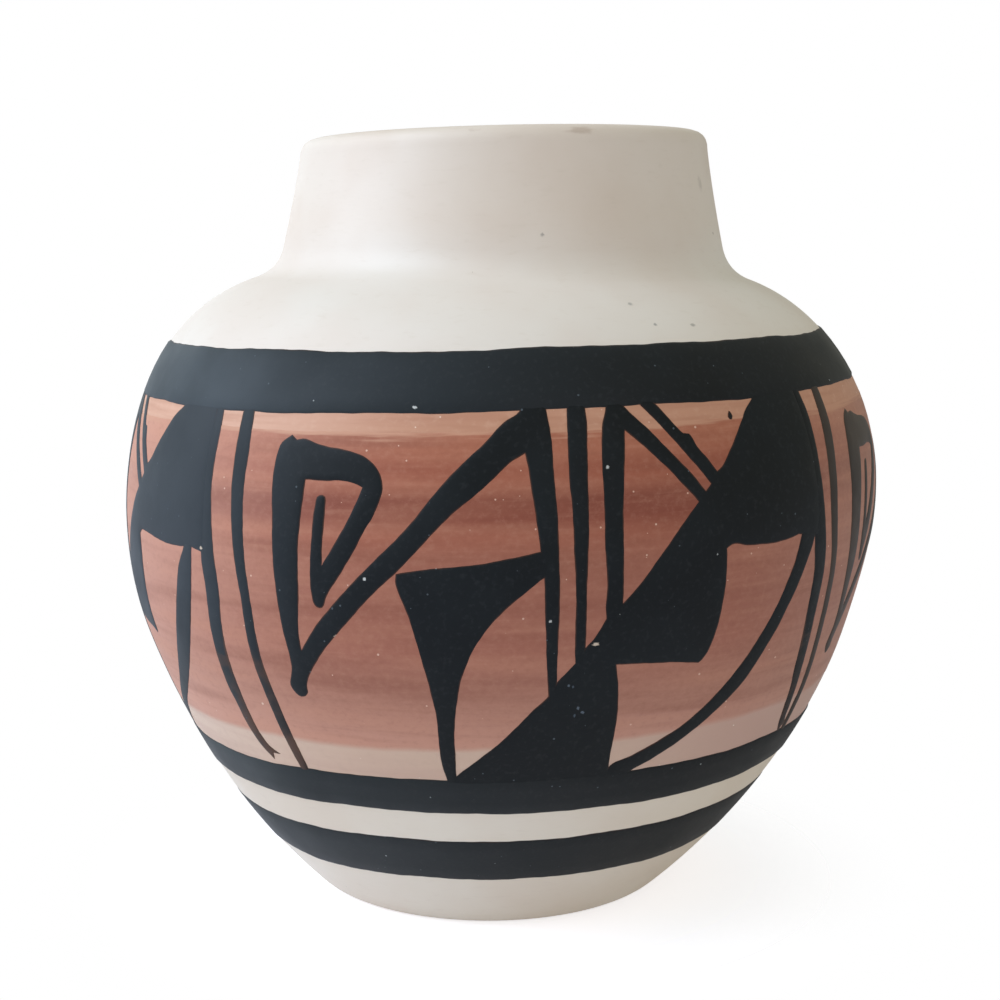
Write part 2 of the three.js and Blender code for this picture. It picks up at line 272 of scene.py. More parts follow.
def add_piece(node, material, points, faces, places=None, edges=None):
    """A piece of the vase in place of a CAD node, from points of a true round pot in millimetres.
    For its material it keeps each point's place on the pot, in "pot", and may keep the distance
    to the paint's edge, in "edge"."""
    name = f"vase_{node}"
    mesh = bpy.data.meshes.new(name)
    mesh.from_pydata(by_hand(points).tolist(), [], faces)
    mesh.shade_smooth()
    mesh.set_sharp_from_angle(angle=math.radians(SHARP_DEGREES))
    place = mesh.attributes.new("pot", "FLOAT_VECTOR", "POINT")
    place.data.foreach_set("vector", np.float32(points if places is None else places).ravel())
    if edges is not None:
        edge = mesh.attributes.new("edge", "FLOAT", "POINT")
        edge.data.foreach_set("value", np.float32(edges))
    mesh.materials.append(material)
    piece = bpy.data.objects.new(name, mesh)
    bpy.context.scene.collection.objects.link(piece)
    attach(piece, "root")
    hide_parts(node)


def ring_faces(rows, columns, closed):
    """The faces of a grid of points that goes round the axis, row by row. A closed grid's last
    row joins its first."""
    faces = []
    for row in range(rows if closed else rows - 1):
        here = row * columns
        above = (row + 1) % rows * columns
        for column in range(columns):
            beside = (column + 1) % columns
            faces.append((here + column, here + beside, above + beside, above + column))
    return faces


def angles(count):
    return np.linspace(-math.pi, math.pi, count, endpoint=False)


def corner(start, tip, end, steps=6):
    """A rounded corner of a profile, without its first point."""
    return bezier(start, tip, end, steps=steps)[1:]


def clay_profile():
    """The clay's section, from the middle of the underside round the lip to the hollow's floor."""
    slope = RECESS_ROUNDING * math.sqrt(0.5)
    recess = (RECESS_RADIUS - RECESS_ROUNDING, RECESS_DEPTH)
    recess_side = (RECESS_RADIUS + slope, RECESS_DEPTH - slope)
    ring = RECESS_RADIUS + RECESS_DEPTH
    ring_side = (ring - slope, slope)
    ring_outside = (FOOT_RADIUS - FOOT_ROUNDING, 0)
    lip = OUTER_WALL[-1]
    inside = lip - WALL * OUTER_NORMALS[-1]
    lip_inside = (inside[0] + LIP_ROUNDING_INSIDE, HEIGHT)
    return np.vstack([
        [(0, RECESS_DEPTH), recess],
        corner(recess, (RECESS_RADIUS, RECESS_DEPTH), recess_side),
        [ring_side],
        corner(ring_side, (ring, 0), (ring + RECESS_ROUNDING, 0)),
        [ring_outside],
        corner(ring_outside, (FOOT_RADIUS, 0), on_wall(FOOT_ROUNDING, 0)),
        OUTER_WALL[OUTER_WALL[:, 1] > FOOT_ROUNDING],
        corner(lip, (lip[0], HEIGHT), (lip[0] - LIP_ROUNDING_OUTSIDE, HEIGHT)),
        [lip_inside],
        corner(lip_inside, (inside[0], HEIGHT), inside),
        hollow(-WALL, FLOOR)[1:],
    ])


def hollow(lift, floor, top=HEIGHT):
    """The hollow's section inside the outer wall, from its top to the middle of its floor."""
    side = OUTER_WALL + lift * OUTER_NORMALS
    side = side[(side[:, 1] > floor + FLOOR_ROUNDING) & (side[:, 1] < top)][::-1]
    foot = side[-1]
    down = foot - side[-2]
    tip = foot + down * (floor - foot[1]) / down[1]
    end = (tip[0] - np.linalg.norm(tip - foot), floor)
    return np.vstack([side, corner(foot, tip, end), [(0, floor)]])


def turned(profile, columns):
    """Points and faces of a round solid, from a section that starts and ends on the axis."""
    rings = profile[1:-1]
    points = thrown(angles(columns), rings[:, :1], rings[:, 1:]).reshape(-1, 3)
    poles = [(0, 0, profile[0][1]), (0, 0, profile[-1][1])]
    faces = ring_faces(len(rings), columns, closed=False)
    last_ring = (len(rings) - 1) * columns
    low_pole = len(points)
    for column in range(columns):
        beside = (column + 1) % columns
        faces.append((low_pole, beside, column))
        faces.append((last_ring + column, last_ring + beside, low_pole + 1))
    return np.vstack([points, poles]), faces


def add_clay_body():
    points, faces = turned(clay_profile(), BODY_COLUMNS)
    add_piece("clay_body", clay_finish(), points, faces)


def add_glaze_lining():
    """The glaze on the inside, a thin shell that stops a little below the lip."""
    top = HEIGHT - BARE_LIP_INSIDE
    under = hollow(-WALL + SUNK, FLOOR - SUNK, top)[::-1]
    over = hollow(-WALL - GLAZE_COAT, FLOOR + GLAZE_COAT, top)
    points, faces = turned(np.vstack([under, over]), BODY_COLUMNS)
    add_piece("glaze_lining", glaze_finish(), points, faces)


def eased(share):
    share = np.clip(share, 0, 1)
    return share * share * (3 - 2 * share)


# An uneven painted line, as waves round the pot: how many, and how high in millimetres
UNEVEN = [(2, 0.1), (5, 0.08), (9, 0.06), (17, 0.04), (31, 0.025), (58, 0.015), (103, 0.012)]


def uneven(height, seed, climb=0):
    """A painted line: its height all round the pot, with the waves of a seed, and higher on the
    right by a climb."""
    around = angles(RING_COLUMNS)
    phases = np.random.default_rng(seed).uniform(0, 2 * math.pi, len(UNEVEN))
    waves = sum(rise * np.sin(count * around + phase) for (count, rise), phase in zip(UNEVEN, phases))
    return height + climb * np.sin(around) + waves


def add_band(node, material, coat, bottom, top):
    """A band of slip on the clay between two painted lines."""
    around = angles(RING_COLUMNS)
    steps = math.ceil(np.mean(top - bottom - 2 * FEATHER) / RING_STEP)
    heights = np.vstack([
        [bottom, bottom + FEATHER / 2],
        blend(bottom + FEATHER, top - FEATHER, np.linspace(0, 1, steps + 1)[:, None]),
        [top - FEATHER / 2, top],
    ])
    edge = np.minimum(heights - bottom, top - heights)
    outside = painted(around, heights, coat * eased(edge / FEATHER))
    inside = painted(around, heights, -SUNK)[::-1]
    points = np.vstack([outside, inside])
    faces = ring_faces(len(points), RING_COLUMNS, closed=True)
    places = paint_place(around, np.vstack([heights, heights[::-1]])).reshape(-1, 3)
    edges = np.vstack([edge, np.zeros_like(edge)]).ravel()
    add_piece(node, material, points.reshape(-1, 3), faces, places, edges)


def flat(points):
    """Points of the frieze in flat millimetres, from degrees and percent of its height."""
    degrees, percent = np.array(points, float).reshape(-1, 2).T
    height = blend(FRIEZE_BOTTOM, FRIEZE_TOP, percent / 100)
    return np.stack([np.radians(degrees) * BELLY_RADIUS, height], 1)


def evenly(line):
    """A line's points set anew, about one stroke step apart."""
    along = np.r_[0, np.cumsum(np.linalg.norm(np.diff(line, axis=0), axis=1))]
    count = max(1, math.ceil(along[-1] / STROKE_STEP))
    places = np.linspace(0, along[-1], count + 1)
    return np.stack([np.interp(places, along, column) for column in line.T], 1)


def brushed(start, *edges):
    """An outline from points of degrees and percent. Each edge is a smooth curve through its
    points, or a straight line to its only point, and starts where the one before it ends."""
    outline = []
    here = flat(start)
    for edge in edges:
        line = np.vstack([here, flat(edge)])
        outline.append(evenly(through(line) if len(edge) > 1 else line)[:-1])
        here = line[-1:]
    return np.vstack(outline)


def normals_of(outline):
    along = np.roll(outline, -1, 0) - np.roll(outline, 1, 0)
    along /= np.maximum(np.linalg.norm(along, axis=1), 1e-9)[:, None]
    return np.stack([along[:, 1], -along[:, 0]], 1)


# A brushed edge's roughness, as waves along it: how long and how high, in millimetres
ROUGH = [(9, 0.018), (3.4, 0.012), (1.5, 0.01)]


def roughened(outline, random):
    """An outline with the small unevenness of a brush stroke's edge."""
    steps = np.linalg.norm(np.roll(outline, -1, 0) - outline, axis=1)
    along = np.r_[0, np.cumsum(steps)[:-1]] / steps.sum()
    shift = sum(
        rise * np.sin(2 * math.pi * (round(steps.sum() / length) * along + random.uniform()))
        for length, rise in ROUGH
    )
    return outline + shift[:, None] * normals_of(outline)


def edges_of(outlines):
    """The start and end of every straight piece of some outlines."""
    return np.vstack(outlines), np.vstack([np.roll(outline, -1, 0) for outline in outlines])


def within(points, outlines):
    """Whether each point is inside the outlines and outside their holes."""
    start, end = edges_of(outlines)
    x, y = points[:, :1], points[:, 1:]
    crosses = (start[:, 1] > y) != (end[:, 1] > y)
    rise = np.where(end[:, 1] == start[:, 1], 1, end[:, 1] - start[:, 1])
    at = start[:, 0] + (y - start[:, 1]) * (end[:, 0] - start[:, 0]) / rise
    return (crosses & (x < at)).sum(1) % 2 == 1


def distance_to(points, outlines):
    """The distance from each point to the nearest outline."""
    start, end = edges_of(outlines)
    along = end - start
    share = ((points[:, None] - start) * along).sum(2) / np.maximum((along**2).sum(1), 1e-12)
    nearest = start + np.clip(share, 0, 1)[..., None] * along
    return np.linalg.norm(points[:, None] - nearest, axis=2).min(1)


def filling(outlines):
    """Points inside some outlines: rows that follow them, then an even grid."""
    rows = np.vstack([
        outline + side * FEATHER * share * normals_of(outline)
        for outline in outlines
        for side in (-1, 1)
        for share in (0.5, 1)
    ])
    near = distance_to(rows, outlines)
    rows = rows[(near > ROW_CLEARANCE * FEATHER) & within(rows, outlines)]
    low, high = np.vstack(outlines).min(0), np.vstack(outlines).max(0)
    levels = np.arange(low[1], high[1], STROKE_GRID)
    across, up = np.meshgrid(np.arange(low[0], high[0], STROKE_GRID), levels)
    across = across + (np.arange(len(across)) % 2)[:, None] * STROKE_GRID / 2
    grid = np.stack([across.ravel(), up.ravel()], 1)
    grid = grid[within(grid, outlines)]
    grid = grid[distance_to(grid, outlines) > GRID_CLEARANCE * FEATHER]
    return np.vstack([rows, grid])


def flat_mesh(outlines):
    """A triangle mesh that fills some outlines: its points and its faces."""
    points = np.vstack([*outlines, filling(outlines)])
    edges = []
    for outline in outlines:
        first = len(edges)
        count = len(outline)
        edges += [(first + i, first + (i + 1) % count) for i in range(count)]
    made, _, triangles, *_ = delaunay_2d_cdt([Vector(p) for p in points], edges, [], 0, 1e-6, False)
    made = np.array([tuple(p) for p in made])
    triangles = np.array(triangles)
    middles = made[triangles].mean(1)
    return made, triangles[within(middles, outlines)]


def closed_skin(faces, count):
    """The faces of a thin solid with a front of the given faces, a back of the same faces on
    points numbered from count up, and a side all along the rim."""
    front = [tuple(face) for face in faces.tolist()]
    back = [(c + count, b + count, a + count) for a, b, c in front]
    sides = dict.fromkeys(side for a, b, c in front for side in ((a, b), (b, c), (c, a)))
    rim = [(b, a, a + count, b + count) for a, b in sides if (b, a) not in sides]
    return front + back + rim


def sideways(angle, shift):
    """The turn that takes a point on the belly sideways by a shift, as the front sees it, and that
    dies out towards the sides."""
    facing = np.cos(angle)
    return shift / BELLY_RADIUS * facing / (facing**2 + SIDE_SLACK)


def add_figure(name, repeat, outlines, coat, material):
    """A brushed figure in black slip on the terracotta, in one of the frieze's repeats."""
    random = np.random.default_rng(sum(map(ord, name)) + 1000 * repeat)
    outlines = [roughened(drift(outline, repeat), random) for outline in outlines]
    points, triangles = flat_mesh(outlines)
    edge = distance_to(points, outlines)
    angle = points[:, 0] / BELLY_RADIUS + (repeat - 1) * 2 * math.pi / REPEATS
    angle += sideways(angle, paint_wander(points[:, 1]) + PAINT_SPREAD * np.sin(angle))
    lift = blend(TERRACOTTA_COAT, coat, eased(edge / FEATHER))
    front = painted(angle, points[:, 1], lift)
    back = painted(angle, points[:, 1], TERRACOTTA_COAT - SUNK)
    faces = closed_skin(triangles, len(points))
    places = paint_place(np.r_[angle, angle], np.r_[points[:, 1], points[:, 1]])
    edges = np.r_[edge, np.zeros(len(edge))]
    skin = np.vstack([front, back])
    add_piece(f"{name}_{repeat}", material, skin, faces, places, edges)


# How far each repeat's paint drifts to the right and up, in millimetres, and how long the waves are
DRIFT = {1: (0, 0), 2: (0.5, 0.35), 3: (-0.45, 0.4), 4: (0, 0)}
DRIFT_LENGTH = 34

# The first repeat's strokes on the far right bend further to the right, more so lower down: from and
# to which degrees that sets in, and by how many degrees at the top and lower down
BEND_FROM, BEND_TO = 43, 47
BEND_TOP, BEND_GROWTH, BEND_POWER = 0.8, 3.4, 1.3


def drift(outline, repeat):
    """An outline as it was painted in one of the repeats."""
    right, up = DRIFT[repeat]
    x, y = outline.T
    wave = 2 * math.pi / DRIFT_LENGTH
    moved = np.stack([x + right * np.sin(wave * y + repeat), y + up * np.sin(wave * x + repeat)], 1)
    if repeat == 1:
        degrees = np.degrees(x / BELLY_RADIUS)
        fall = np.clip((FRIEZE_TOP - y) / (FRIEZE_TOP - FRIEZE_BOTTOM), 0, 1)
        bend = BEND_TOP + BEND_GROWTH * fall**BEND_POWER
        share = eased((degrees - BEND_FROM) / (BEND_TO - BEND_FROM))
        moved[:, 0] += np.radians(bend * share) * BELLY_RADIUS
    return moved


# The frieze's figures. Each outline is in degrees round the belly from the middle of its repeat,
# and in percent of the frieze's height: what is above 100 or below 0 lies under a black band.


def fret_hook():
    """The hook, the stroke that climbs from its foot and the upright at that stroke's end."""
    hook_left = [(-30.6, 91.9), (-31.1, 83.6), (-30.6, 72), (-29.75, 45.7), (-29.2, 32), (-30.2, 26),
                 (-29.1, 23.1), (-28, 23.3), (-27.4, 24.7)]
    climb_under = [(-27.3, 27.1), (-25.95, 31.5), (-22.8, 39.1), (-20.7, 43.6), (-16.2, 53.3),
                   (-12.6, 60.2), (-9.45, 67.2), (-6.05, 74.7), (-1.95, 81.9), (1, 87.4), (2.9, 89.7)]
    upright_left = [(3.3, 86.4), (3.95, 79.5), (5, 68.4), (5.9, 58.1), (6.1, 49.8), (6.4, 42.9),
                    (6.95, 27.1), (7.2, 21)]
    upright_right = [(8.1, 29.5), (8.05, 46.4), (7.7, 63.6), (7.4, 70.5), (6.7, 82.9), (6.45, 89.8),
                     (6.2, 94.7), (5.7, 100), (5.5, 103)]
    climb_over = [(2.1, 100), (0.1, 97.4), (-2.6, 91.9), (-4.9, 87.8), (-7.2, 82.9), (-11.7, 71.2),
                  (-16.2, 61.6), (-19.6, 54.7), (-24.1, 44.7), (-27, 37.1)]
    window_left = [(-27, 42.9), (-26.5, 52), (-26.3, 68), (-26.2, 74), (-25.95, 83)]
    window_top = [(-23, 82.9), (-20.7, 83.1), (-18.7, 82.4), (-17.8, 81.5)]
    window_right = [(-18.2, 79.1), (-19.1, 74.7), (-20.3, 69.8), (-21.6, 65), (-22.85, 60.9)]
    tongue = [(-22.8, 66), (-22.7, 75.3), (-22.9, 78.9), (-23.3, 79.3), (-23.95, 78.9), (-24.25, 76),
              (-24.5, 63.6), (-24.6, 58), (-24.5, 53.3), (-24.25, 50.5), (-23.8, 49.5), (-23.1, 49.5),
              (-22.7, 50.5), (-22.4, 52.2)]
    hook_right = [(-21.9, 54), (-20.3, 58.8), (-18.45, 65), (-16.9, 71.2), (-15.95, 74.7),
                  (-15.1, 81.2), (-15.7, 85.3), (-16.9, 87.9), (-18.45, 89.7), (-20.7, 90.9),
                  (-23, 91.5), (-25.3, 92.4), (-26.9, 93.4), (-28.1, 93.1)]
    outline = brushed(
        (-29, 94.3), hook_left, climb_under, upright_left, [(8.2, 24)], upright_right, [(2.9, 103)],
        climb_over, window_left, window_top, window_right, tongue + hook_right, [(-29, 94.3)],
    )
    return [outline]


def feather_blade():
    top = [(5.3, 65), (1.9, 63.6), (-2.6, 62.1), (-7.2, 61.2), (-11, 60.2), (-12.8, 59.5)]
    left = [(-12.9, 57.5), (-12.7, 55.5), (-12.1, 52.6), (-11.3, 48.4), (-10.6, 43.6),
            (-9.45, 32.6), (-8.9, 26.4), (-8.4, 19.5), (-8.3, 11), (-7.9, 4.3), (-7.2, 0), (-6.6, -4)]
    right = [(-5.8, 1.5), (-5.9, 8.4), (-6, 14.7), (-5.7, 20.9), (-4.7, 30.5), (-3.9, 35),
             (-2.9, 39.5), (-1.7, 43.3), (-0.4, 46.7), (1, 49.8), (2.4, 52.4), (5.3, 57.4), (7, 59.5)]
    return [brushed((7, 65.5), top, left, [(-5.6, -4)], right, [(7, 65.5)])]


def upright_bar():
    left = [(8.4, 96.7), (8.6, 82.9), (9, 76), (9.4, 67.8), (9.75, 60.2), (10, 53.3), (10.3, 39.5),
            (10.6, 31)]
    right = [(11.7, 38.8), (11.6, 46.4), (11.4, 55.3), (11.3, 70.5), (11.1, 77.4), (10.95, 84),
             (11, 91), (11.1, 97.4), (10.8, 104)]
    return [brushed((8.7, 104), left, [(11.8, 36)], right, [(8.7, 104)])]


# The big stepped figure's riser and the step over it, as usual and on the left of the vase
RISER = [(29.2, 31.9), (29.9, 34), (30.6, 38.1), (31, 42.9), (31.2, 49.8), (31.1, 56.7), (30.9, 62.2)]
HIGH_STEP = [(31.9, 63.1), (34.4, 62.2), (37, 61.9), (39.6, 61.8), (42.3, 62.2), (43.9, 62.8)]
LEFT_RISER = [(27.2, 32), (27, 36.9), (27.1, 43.1), (27.6, 50.9), (27.8, 57), (27.8, 61.7)]
LEFT_HIGH_STEP = [(28.6, 62.9), (31.4, 62.7), (37.1, 61.6), (41.2, 61.5), (43.7, 62.1)]


def lightning_figure(riser=RISER, high_step=HIGH_STEP):
    """The big stepped figure, with a thin upright and two slanting lines on its left edge."""
    upright_left = [(13.8, 100), (13.2, 96.7), (12.9, 91.2), (12.9, 84.3), (13.3, 70.5), (13.6, 63.6),
                    (13.95, 56.7), (14, 49.8), (14.2, 46.5)]
    left = [(12.8, 41.2), (11.7, 38.8), (10.5, 34.8), (8.1, 29.5), (6.9, 25.3), (5.3, 22.2),
            (3.05, 17.4), (0.8, 12.6), (-1.5, 8.4), (-3.8, 4.7), (-5.8, 1.5), (-8, -3)]
    foot_right = [(18.2, 0), (17.8, 2.9), (17.5, 8.4), (17.3, 16.7), (16.9, 25.7), (16.2, 33.4)]
    low_step = [(18.3, 33.3), (21.2, 32.9), (25.2, 32.2), (riser[0][0] - 0.5, 31.2)]
    right = [(47.2, 70), (46.9, 80), (46.4, 95), (46, 104)]
    slant = [(37.4, 100), (35.7, 97.4), (34.6, 95), (33.05, 91.2), (31.5, 87.4), (30.2, 84),
             (29.2, 82.6)]
    high_line_over = [(27.8, 86), (26.4, 89.2), (25.9, 91.2), (25.3, 92.6), (24.6, 92.7), (23.3, 95.4),
                      (21.3, 100), (19.4, 104)]
    high_line_under = [(19, 100), (21.2, 95.3), (23.8, 89.5), (26.5, 83.3), (28.1, 79.5)]
    low_line_over = [(25.2, 82.6), (22.5, 88.1), (19.9, 93.6), (16.5, 100), (14.8, 104)]
    window_left = [(15.9, 87.8), (15.7, 80.9), (15.7, 74), (15.9, 67), (16.2, 54), (16.3, 50.4)]
    window_right = [(18.05, 54.3), (19.9, 59.1), (22.5, 66), (24.6, 71.6), (26.2, 75.2)]
    low_line_under = [(23.8, 80.2), (22, 84), (18.6, 90.2), (16.2, 94.3)]
    outline = brushed(
        (13.9, 104), upright_left, left, [(19, -4)], foot_right, low_step, riser, high_step, [(47, 61)],
        right, [(38.6, 104)], slant, high_line_over, [(17.2, 104)], high_line_under, [(27.3, 77.8)],
        low_line_over, [(13.9, 104)],
    )
    window = brushed((16.2, 94.3), window_left, window_right, low_line_under)
    return [outline, window]


def drip():
    """A small drop of slip that fell beside the big stepped figure."""
    return brushed((32.6, 97.4), [(33, 96.3), (32.6, 95), (32.2, 96.1), (32.6, 97.4)])


def left_arc_line():
    """The arc on the left of the vase, drawn thicker and nearer to its figure."""
    inside = [(42.2, 61.2), (40.9, 56.9), (39.9, 51.7), (38.7, 45.5), (35.3, 32.3), (31, 21.3),
              (26.3, 12.9), (21.5, 6.6), (17.9, 2.9), (16.2, -3.5)]
    outside = [(21.5, 0.5), (26.5, 8.2), (31.5, 15.1), (36.9, 25.2), (40.1, 34), (42.4, 43.7),
               (43.7, 52.7), (44.2, 60.5), (44.6, 66.5)]
    return [brushed((43, 66.5), inside, [(19.2, -3.5)], outside, [(43, 66.5)])]


def arc_line():
    inside = [(44.4, 63.3), (44.2, 60.9), (43.5, 54), (42.2, 47.1), (40.9, 41.6), (39.6, 37.1),
              (38.3, 32.9), (36.5, 28.1), (34.4, 23.3), (32, 18.4), (29.1, 13.6), (26.2, 10.2),
              (21.2, 5.3), (18.05, 2.9), (16.5, -3.5)]
    outside = [(22, 0.5), (24.6, 2.9), (27.8, 6.4), (30.4, 9.8), (33.05, 13.6), (35.7, 18.1),
               (37.8, 22.2), (39.6, 27.1), (40.9, 31.2), (42.8, 37.4), (43.8, 42.9), (44.8, 49.8),
               (45.4, 54.7), (46.1, 59.5), (46.8, 66.5)]
    return [brushed((45.2, 66.5), inside, [(19.5, -3.5)], outside, [(45.2, 66.5)])]


def side_line(lean=0):
    """The thin line along the lightning figure's right edge, which ends in a forked tip. It may
    lean out by some degrees between its tip and the middle of the frieze."""
    left = [(46, 95), (46, 80), (46.2, 68), (46.4, 57.8)]
    lower_left = [(46.8, 50), (46.8 + lean / 2, 40), (47 + lean, 30), (47.3 + lean, 22),
                  (48 + lean, 16.7), (48.8 + lean, 10), (50 + lean / 2, 4), (51.5, 0.3)]
    right = [(51.7 + lean / 2, 5), (50.9 + lean, 10), (49.9 + lean, 20), (49.6 + lean, 30),
             (49.4 + lean / 2, 40), (49.6, 51), (49.2, 60), (48.6, 70), (48, 80), (47.85, 95),
             (47.5, 100), (47.4, 104)]
    return [brushed((45.9, 104), left, lower_left, [(51.8, 2.5)], [(53.4, 2.6)], right, [(45.9, 104)])]


def upright_line():
    left = [(-38.45, 100), (-38.35, 90), (-38.1, 80), (-37.55, 70), (-36.9, 60), (-36.25, 50),
            (-36.25, 40), (-36.05, 30), (-35.4, 20), (-34.4, 10), (-33.1, 0), (-32.4, -4)]
    right = [(-31.5, 0), (-32.5, 10), (-33.5, 20), (-34.25, 30), (-34.45, 40), (-34.55, 50),
             (-35, 60), (-35.45, 70), (-35.8, 80), (-35.85, 90), (-36.35, 100), (-36.5, 104)]
    return [brushed((-38.6, 104), left, [(-31, -4)], right, [(-38.6, 104)])]


def colour(red, green, blue):
    """A colour for a shader, from a shade in the 0 to 255 of a picture."""
    return tuple(
        (c / 12.92 if c <= 0.04045 else ((c + 0.055) / 1.055) ** 2.4)
        for c in (red / 255, green / 255, blue / 255)
    ) + (1,)


class Finish:
    """A material with one shader, whose base colour is laid on layer by layer. Its sizes are
    millimetres on the true round pot, and its shades are the 0 to 255 of a picture."""

    def __init__(self, name, roughness, specular=0.5):
        self.material = bpy.data.materials.new(name)
        self.material.use_nodes = True
        self.tree = self.material.node_tree
        self.shader = self.tree.nodes["Principled BSDF"]
        self.shader.inputs["Roughness"].default_value = roughness
        self.shader.inputs["Specular IOR Level"].default_value = specular

    def add(self, kind, inputs=(), **settings):
        """A shader node with its settings, and with values or links in some of its inputs."""
        node = self.tree.nodes.new(f"ShaderNode{kind}")
        for key, value in settings.items():
            setattr(node, key, value)
        for key, value in dict(inputs).items():
            self.feed(node.inputs[key], value)
        return node

    def feed(self, socket, value):
        if isinstance(value, bpy.types.NodeSocket):
            self.tree.links.new(value, socket)
        else:
            socket.default_value = value

    @cached_property
    def place(self):
        return self.add("Attribute", attribute_name="pot").outputs["Vector"]

    @cached_property
    def right(self):
        """How far a point is to the right of the axis."""
        return self.add("SeparateXYZ", {0: self.place}).outputs["X"]

    @cached_property
    def height(self):
        return self.add("SeparateXYZ", {0: self.place}).outputs["Z"]

    @cached_property
    def edge(self):
        """How far a point of the paint is from the paint's edge."""
        return self.add("Attribute", attribute_name="edge").outputs["Fac"]

    def sums(self, operation, first, second):
        return self.add("Math", {0: first, 1: second}, operation=operation).outputs[0]

    def noise(self, across, up=None, detail=3, roughness=0.5):
        """Soft blotches from 0 to 1 of a size on the level and upright."""
        scale = (1 / across, 1 / across, 1 / (up or across))
        place = self.add("VectorMath", {0: self.place, 1: scale}, operation="MULTIPLY").outputs[0]
        inputs = {"Vector": place, "Scale": 1, "Detail": detail, "Roughness": roughness}
        return self.add("TexNoise", inputs).outputs["Fac"]

    def between(self, value, low, high, start=0.0, end=1.0):
        """A value's way from low to high, eased, as a number from start to end."""
        inputs = {"Value": value, "From Min": low, "From Max": high, "To Min": start, "To Max": end}
        return self.add("MapRange", inputs, interpolation_type="SMOOTHSTEP").outputs["Result"]

    def specks(self, spacing, size, share):
        """1 inside scattered specks, of which only a share of the places has one."""
        inputs = {"Vector": self.place, "Scale": 1 / spacing, "Randomness": 1}
        cells = self.add("TexVoronoi", inputs)
        chance = self.add("SeparateColor", {0: cells.outputs["Color"]}).outputs[0]
        radius = self.sums("MULTIPLY", chance, size / spacing / share)
        inside = self.sums("LESS_THAN", cells.outputs["Distance"], radius)
        return self.sums("MULTIPLY", inside, self.sums("LESS_THAN", chance, share))

    def spot(self, place, half_width, half_height, softness=0.3):
        """1 in a patch round a place on the pot, with an uneven edge."""
        halves = (half_width, half_width, half_height)
        shift = self.add("VectorMath", {0: self.place, 1: place}, operation="SUBTRACT")
        scaled = self.add("VectorMath", {0: shift.outputs[0], 1: halves}, operation="DIVIDE")
        away = self.add("VectorMath", {0: scaled.outputs[0]}, operation="LENGTH")
        ragged = self.between(self.noise(half_width, half_height, detail=2), 0.2, 0.8, -0.4, 0.4)
        distance = self.sums("ADD", away.outputs["Value"], ragged)
        return self.between(distance, 1 + softness, 1 - softness)

    def mix(self, share, first, second, kind="MIX"):
        node = self.add("Mix", data_type="RGBA", blend_type=kind)
        self.feed(node.inputs["Factor"], share)
        self.feed(node.inputs[6], first)
        self.feed(node.inputs[7], second)
        return node.outputs[2]

    def by_level(self, level, stops):
        """Colours along a level of 0 to 1, from stops of a level and a shade."""
        ramp = self.add("ValToRGB", {"Fac": level})
        elements = ramp.color_ramp.elements
        while len(elements) < len(stops):
            elements.new(0.5)
        for element, (position, shade) in zip(elements, stops):
            element.position = position
            element.color = colour(*shade)
        return ramp.outputs["Color"]

    def lay(self, shade, share):
        """Covers the base with a share of a shade."""
        self.base = self.mix(share, self.base, colour(*shade))

    def darken(self, factors, share):
        """Multiplies a share of the base by factors."""
        self.base = self.mix(share, self.base, factors, kind="MULTIPLY")

    def tint(self, shade, value, low, high, share=1.0):
        """Covers the base with a shade, up to a share as a value goes from low to high."""
        self.lay(shade, self.between(value, low, high, 0, share))

    def speckle(self, shade, spacing, size, share):
        self.lay(shade, self.specks(spacing, size, share))

    def relief(self, height, depth):
        """Bumps from a height of 0 to 1, that many millimetres deep."""
        bump = self.add("Bump", {"Height": height, "Distance": depth * MM, "Strength": 1.0})
        self.feed(self.shader.inputs["Normal"], bump.outputs["Normal"])

    def done(self, roughness=None):
        self.feed(self.shader.inputs["Base Color"], self.base)
        if roughness is not None:
            self.feed(self.shader.inputs["Roughness"], roughness)
        return self.material


# What the clay has picked up: degrees round the pot, height, half width, half height, colour
CLAY_STAINS = [
    (20.1, 89.2, 1.2, 0.35, (180, 160, 144)),
    (-8.1, 89.6, 0.7, 0.25, (186, 168, 152)),
    (64.2, 83.9, 0.5, 0.7, (186, 174, 162)),
    (9.1, 78.3, 0.18, 0.18, (120, 116, 112)),
    (23, 71.3, 0.25, 0.2, (138, 134, 130)),
    (25.4, 69.3, 0.16, 0.25, (104, 102, 100)),
    (32.7, 69.2, 0.3, 0.15, (130, 124, 118)),
]

# What the black figures have lost: degrees, percent of the frieze, half width, half height, colour
BLACK_CHIPS = [
    (13, 39.8, 0.34, 0.16, (196, 180, 162)),
    (-21.4, 42, 0.4, 0.13, (196, 180, 162)),
    (-44.3, 62.3, 0.2, 0.16, (196, 180, 162)),
    (15.7, 76, 0.16, 0.16, (190, 192, 190)),
    (-12, 101.4, 0.2, 0.14, (190, 192, 190)),
    (4.5, 46.5, 0.14, 0.14, (180, 182, 180)),
    (6.7, 46.7, 0.14, 0.14, (180, 182, 180)),
    (-17.4, 58, 0.16, 0.14, (190, 192, 190)),
    (13.4, 85.5, 0.16, 0.16, (180, 182, 180)),
    (11.3, 21.8, 0.14, 0.2, (84, 94, 104)),
    (12, 20.4, 0.18, 0.16, (84, 94, 104)),
    (10.9, 19.6, 0.1, 0.24, (66, 76, 86)),
    (9.8, 28.5, 0.14, 0.12, (84, 94, 104)),
    (10.4, 28.1, 0.1, 0.14, (66, 76, 86)),
]

# The pale wash in the middle, paler on the left as painted light, pinker on the right as painted shade,
# and the thin coat of terracotta
WASH = (199, 170, 149)
LEFT_WASH_PAINTED_LIGHT = (211, 187, 168)
RIGHT_WASH_PAINTED_SHADE = (188, 152, 136)
LIGHT_TERRACOTTA = (190, 139, 112)

